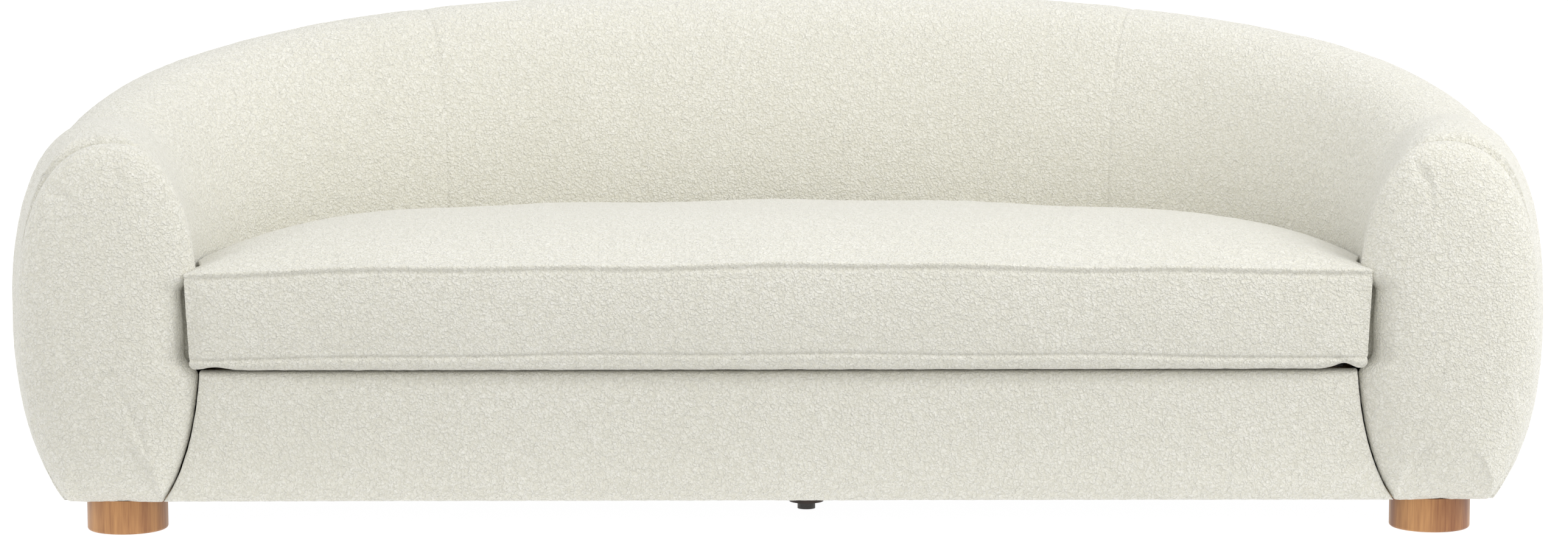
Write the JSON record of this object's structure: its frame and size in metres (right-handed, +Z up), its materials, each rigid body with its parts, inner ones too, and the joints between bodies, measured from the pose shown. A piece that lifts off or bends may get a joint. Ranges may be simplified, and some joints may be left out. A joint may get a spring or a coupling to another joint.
{
  "type": "sofa",
  "caption": "Curved sofa with a rolled back and arms in looped fabric, egg-shaped arm fronts, a loose seat cushion and short round wooden legs.",
  "frame": {"origin": "on the floor, under the middle of the sofa's box", "axes": "+X along the sofa, to the right seen from the front; -Y the front, +Z up"},
  "size_m": [2.2601, 0.92, 0.745],
  "materials": {
    "boucle": "matte",
    "oak": "satin",
    "dark_wood": "satin",
    "glide_plastic": "satin",
    "foam": "matte",
    "wadding": "matte",
    "base_cloth": "matte",
    "steel": "satin",
    "fibreboard": "matte",
    "plywood": "matte",
    "frame_wood": "matte",
    "zip_tape": "matte",
    "zip_metal": "satin"
  },
  "bodies": {
    "frame": {"arm_facing_board_left": "plywood", "arm_facing_board_right": "plywood", "arm_former_left": "plywood", "arm_former_right": "plywood", "arm_pad_cover_left": "boucle", "arm_pad_cover_right": "boucle", "arm_pad_foam_left": "foam", "arm_pad_foam_right": "foam", "base_panel": "plywood", "centre_foot": "dark_wood", "centre_foot_glide": "glide_plastic", "centre_foot_screw": "steel", "centre_stretcher": "frame_wood", "corner_blocks": "frame_wood", "deck_cloth": "base_cloth", "deck_pad": "wadding", "deck_posts": "frame_wood", "deck_ring": "plywood", "dust_cover": "base_cloth", "front_rail": "frame_wood", "front_rail_cover": "boucle", "front_rail_foam": "foam", "hanger_bolts": "steel", "leg_front_left": "oak", "leg_front_right": "oak", "leg_rear_left": "oak", "leg_rear_right": "oak", "rear_rail": "frame_wood", "rib_1": "plywood", "rib_2": "plywood", "rib_3": "plywood", "rib_4": "plywood", "rib_5": "plywood", "rib_6": "plywood", "rib_7": "plywood", "rib_8": "plywood", "rib_9": "plywood", "rib_ties": "plywood", "roll_cover_back": "boucle", "roll_cover_left": "boucle", "roll_cover_right": "boucle", "roll_foam_back": "foam", "roll_foam_left": "foam", "roll_foam_right": "foam", "roll_skin_back": "fibreboard", "roll_skin_left": "fibreboard", "roll_skin_right": "fibreboard", "side_rail_left": "frame_wood", "side_rail_right": "frame_wood", "sinuous_springs": "steel", "spring_clips": "steel", "tee_nuts": "steel"},
    "cushion": {"cushion_border": "boucle", "cushion_bottom_panel": "boucle", "cushion_foam": "foam", "cushion_top_panel": "boucle", "cushion_wrap": "wadding", "zip_tape": "zip_tape"},
    "zip_slider": {"zip_slider": "zip_metal"}
  },
  "joints": [
    {"name": "cushion_lift", "type": "slide", "parent": "frame", "child": "cushion", "axis": [0, 0, 1], "range_m": [0, 0.5]},
    {"name": "zip_run", "type": "slide", "parent": "cushion", "child": "zip_slider", "axis": [1, 0, 0], "range_m": [0, 0.46]}
  ]
}
